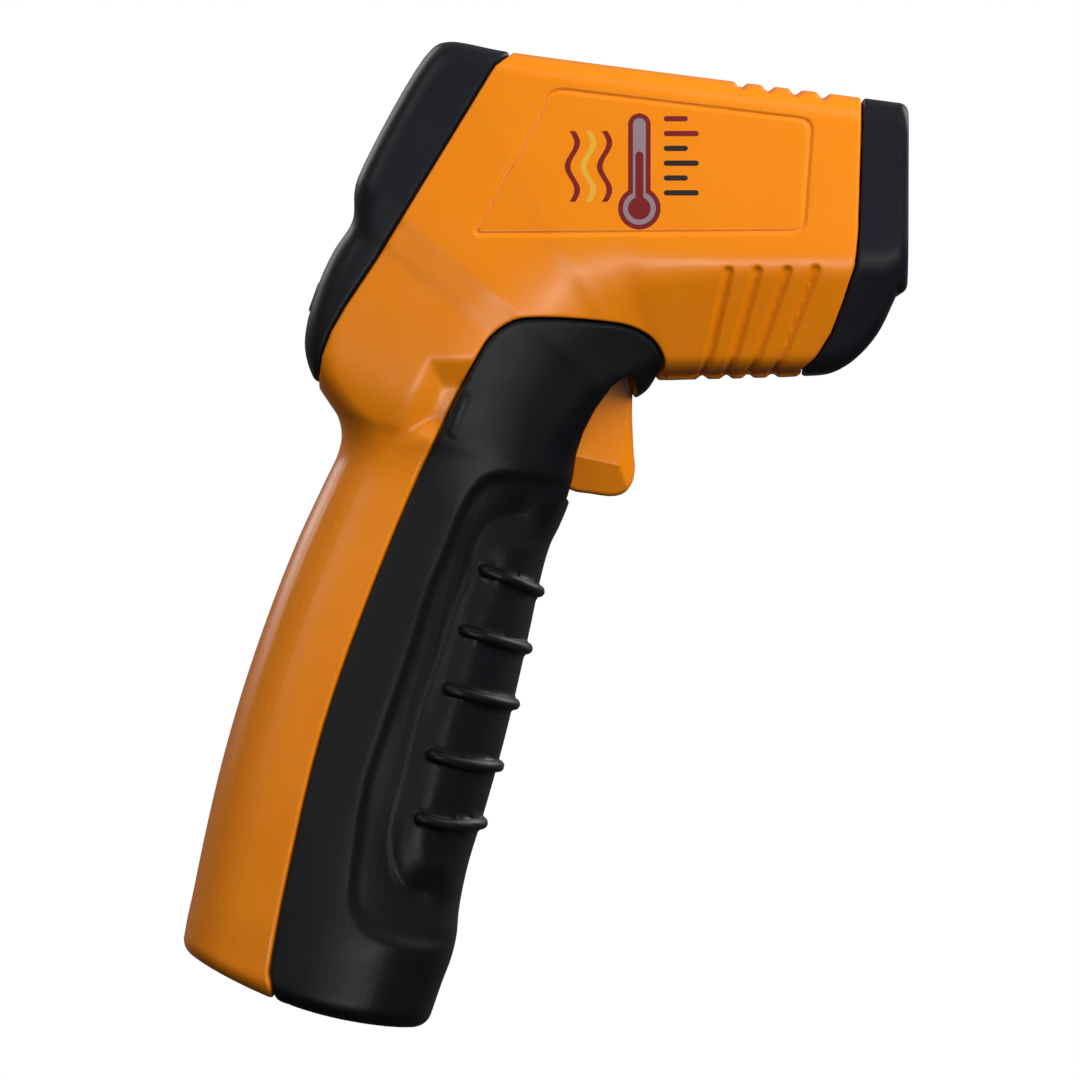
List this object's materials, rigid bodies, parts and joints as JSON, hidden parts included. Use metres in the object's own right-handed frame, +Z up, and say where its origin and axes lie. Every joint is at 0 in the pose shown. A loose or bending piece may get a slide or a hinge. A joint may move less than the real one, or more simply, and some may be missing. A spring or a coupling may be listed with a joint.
{
  "type": "infrared thermometer",
  "caption": "Gun-form infrared thermometer with a trigger, rear display and keys, lens cup with aiming laser, and a flip-down battery door in the grip.",
  "frame": {"origin": "middle of the grip, on the plane of symmetry", "axes": "+X the way the thermometer points, +Z up with the head level, +Y to the user's left when aiming"},
  "size_m": [0.1131, 0.043, 0.1538],
  "materials": {
    "orange_abs": "moulded, satin",
    "black_abs": "moulded, satin",
    "black_rubber": "soft touch",
    "steel": "plain",
    "brass": "turned",
    "circuit_board": "solder mask",
    "clear_window": "clear",
    "display_glass": "liquid crystal",
    "white_plastic": "moulded",
    "infrared_lens": "milky",
    "cell_wrap": "printed sleeve, plain",
    "red_wire": "insulation"
  },
  "bodies": {
    "body": {"battery_1": "cell_wrap", "battery_2": "cell_wrap", "battery_cradle": "black_abs", "contact_link": "steel", "contact_minus": "steel", "contact_plus": "steel", "contact_spring_1": "steel", "contact_spring_2": "steel", "door_hinge_pin": "steel", "front_bezel": "black_abs", "infrared_lens": "infrared_lens", "infrared_sensor": "steel", "keypad_pad": "black_rubber", "laser_lens": "clear_window", "laser_module": "brass", "lcd_backlight": "white_plastic", "lcd_panel": "display_glass", "lcd_window": "clear_window", "lead_black": "black_rubber", "lead_red": "red_wire", "left_shell": "orange_abs", "lens_ring": "black_abs", "main_board": "circuit_board", "rear_bezel": "black_abs", "right_shell": "orange_abs", "screw_front": "steel", "screw_grip": "steel", "screw_top": "steel", "sensor_board": "circuit_board", "sensor_cup": "black_abs", "trigger_bracket": "black_abs", "trigger_pin": "steel", "trigger_spring": "steel", "trigger_switch": "black_abs"},
    "battery_door": {"battery_door": "black_rubber"},
    "trigger": {"trigger": "orange_abs"},
    "switch_plunger": {"switch_plunger": "white_plastic"},
    "button_left": {"button_left": "black_rubber"},
    "button_centre": {"button_centre": "black_rubber"},
    "button_right": {"button_right": "black_rubber"}
  },
  "joints": [
    {"name": "trigger_pull", "type": "hinge", "parent": "body", "child": "trigger", "pos_m": [0.0314, 0, 0.0546], "axis": [0, 1, 0], "range_deg": [0, 8], "stiffness_Nm_per_rad": 0.35, "springref_deg": -2.86, "deforming": ["trigger_spring"]},
    {"name": "switch_press", "type": "slide", "parent": "body", "child": "switch_plunger", "axis": [-1, 0, 0], "range_m": [0, 0.00163]},
    {"name": "door_swing", "type": "hinge", "parent": "body", "child": "battery_door", "pos_m": [-0.0173, 0, -0.0452], "axis": [0, 1, 0], "range_deg": [0, 70]},
    {"name": "button_left_press", "type": "slide", "parent": "body", "child": "button_left", "axis": [0.942, 0, -0.3357], "range_m": [0, 0.0007], "stiffness_N_per_m": 400, "springref_m": -0.0005},
    {"name": "button_centre_press", "type": "slide", "parent": "body", "child": "button_centre", "axis": [0.942, 0, -0.3357], "range_m": [0, 0.0007], "stiffness_N_per_m": 400, "springref_m": -0.0005},
    {"name": "button_right_press", "type": "slide", "parent": "body", "child": "button_right", "axis": [0.942, 0, -0.3357], "range_m": [0, 0.0007], "stiffness_N_per_m": 400, "springref_m": -0.0005}
  ],
  "couplings": [
    {"joint": "switch_press", "follows": "trigger_pull", "m_per_rad": 0.0116}
  ]
}
